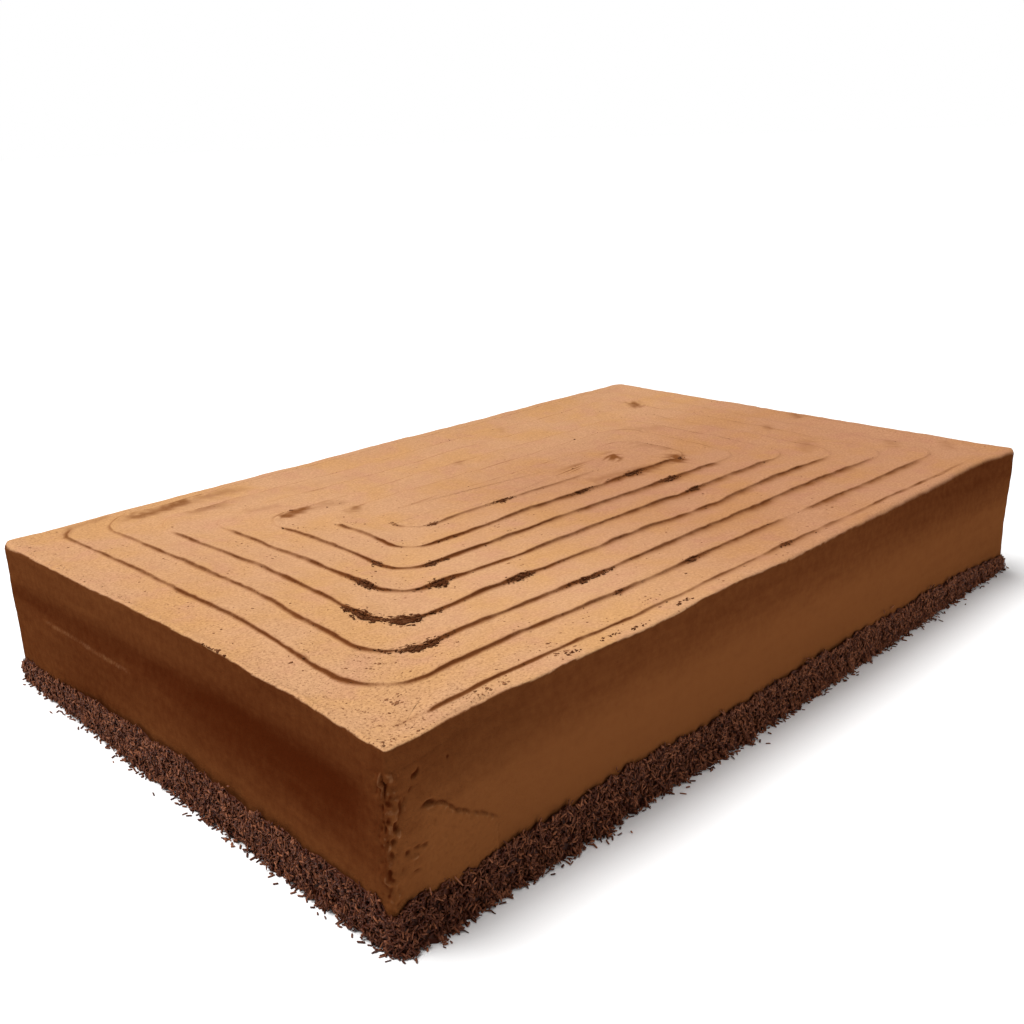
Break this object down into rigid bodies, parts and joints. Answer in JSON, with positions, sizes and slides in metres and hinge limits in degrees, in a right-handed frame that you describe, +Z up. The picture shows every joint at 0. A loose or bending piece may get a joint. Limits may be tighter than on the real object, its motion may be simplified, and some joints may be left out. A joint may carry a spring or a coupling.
{
  "type": "chocolate sheet cake",
  "caption": "Rectangular iced chocolate sheet cake, its top combed in a square spiral of overlapping bands, with a low bank of chocolate sprinkles round the foot.",
  "frame": {"origin": "centre of the flat base, on the surface the cake stands on", "axes": "+X along the length, +Y across the width, +Z up"},
  "size_m": [0.4821, 0.316, 0.075],
  "materials": {
    "icing": "matte",
    "sprinkles": "satin"
  },
  "bodies": {
    "root": {"iced_cake": "icing", "sprinkle_bank": "sprinkles"}
  },
  "joints": []
}
